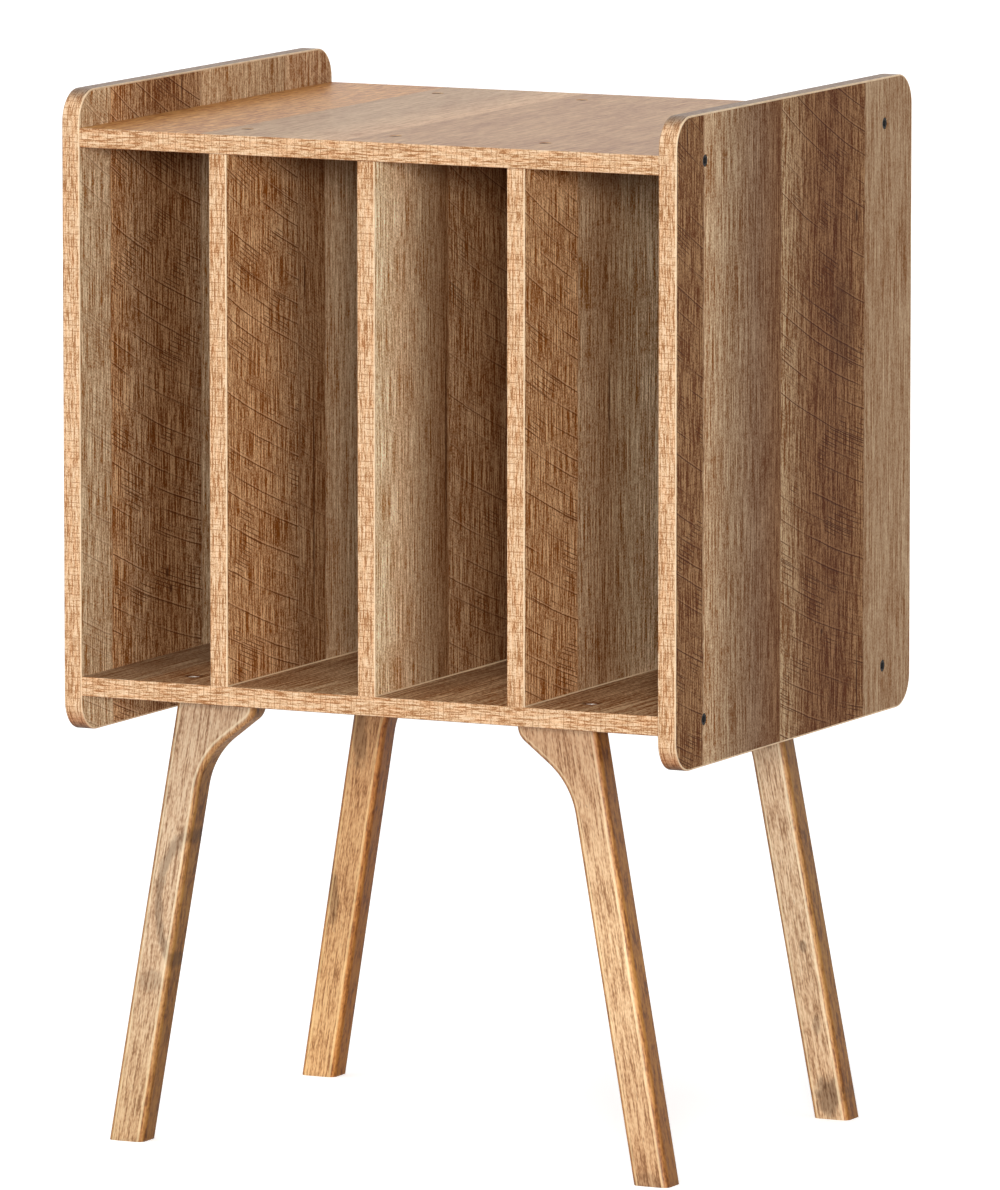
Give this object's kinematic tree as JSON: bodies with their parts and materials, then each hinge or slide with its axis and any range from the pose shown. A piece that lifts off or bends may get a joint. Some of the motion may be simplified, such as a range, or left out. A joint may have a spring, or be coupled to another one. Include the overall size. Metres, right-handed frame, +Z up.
{
  "type": "record storage stand",
  "caption": "Free-standing record stand: a laminated wood cabinet with open upright record bays and a flat top between raised side lips, on splayed solid wood legs.",
  "frame": {"origin": "on the ground, under the middle of the stand", "axes": "+X to the right seen from the front, +Y to the back, +Z up"},
  "size_m": [0.42, 0.345, 0.66],
  "materials": {
    "laminate": "matt printed laminate of brown planks with saw marks",
    "edge_banding": "matt banding printed with pale wood grain",
    "backboard": "matt printed fibreboard",
    "leg_wood": "satin lacquered solid wood, golden brown",
    "black_steel": "black oxide",
    "bright_steel": "zinc plated",
    "brass": "plain",
    "dowel_wood": "bare beech"
  },
  "bodies": {
    "root": {"left_side_panel": "laminate", "right_side_panel": "laminate", "top_panel": "laminate", "floor_panel": "laminate", "left_divider": "laminate", "middle_divider": "laminate", "right_divider": "laminate", "back_panel": "backboard", "left_side_edging": "edge_banding", "right_side_edging": "edge_banding", "top_edging": "edge_banding", "floor_edging": "edge_banding", "left_divider_edging": "edge_banding", "middle_divider_edging": "edge_banding", "right_divider_edging": "edge_banding", "front_left_leg": "leg_wood", "front_right_leg": "leg_wood", "rear_left_leg": "leg_wood", "rear_right_leg": "leg_wood", "left_side_screws": "black_steel", "right_side_screws": "black_steel", "top_screws": "black_steel", "floor_screws": "black_steel", "leg_bolts": "bright_steel", "leg_inserts": "brass", "leg_dowels": "dowel_wood", "side_dowels": "dowel_wood", "divider_dowels": "dowel_wood"}
  },
  "joints": []
}
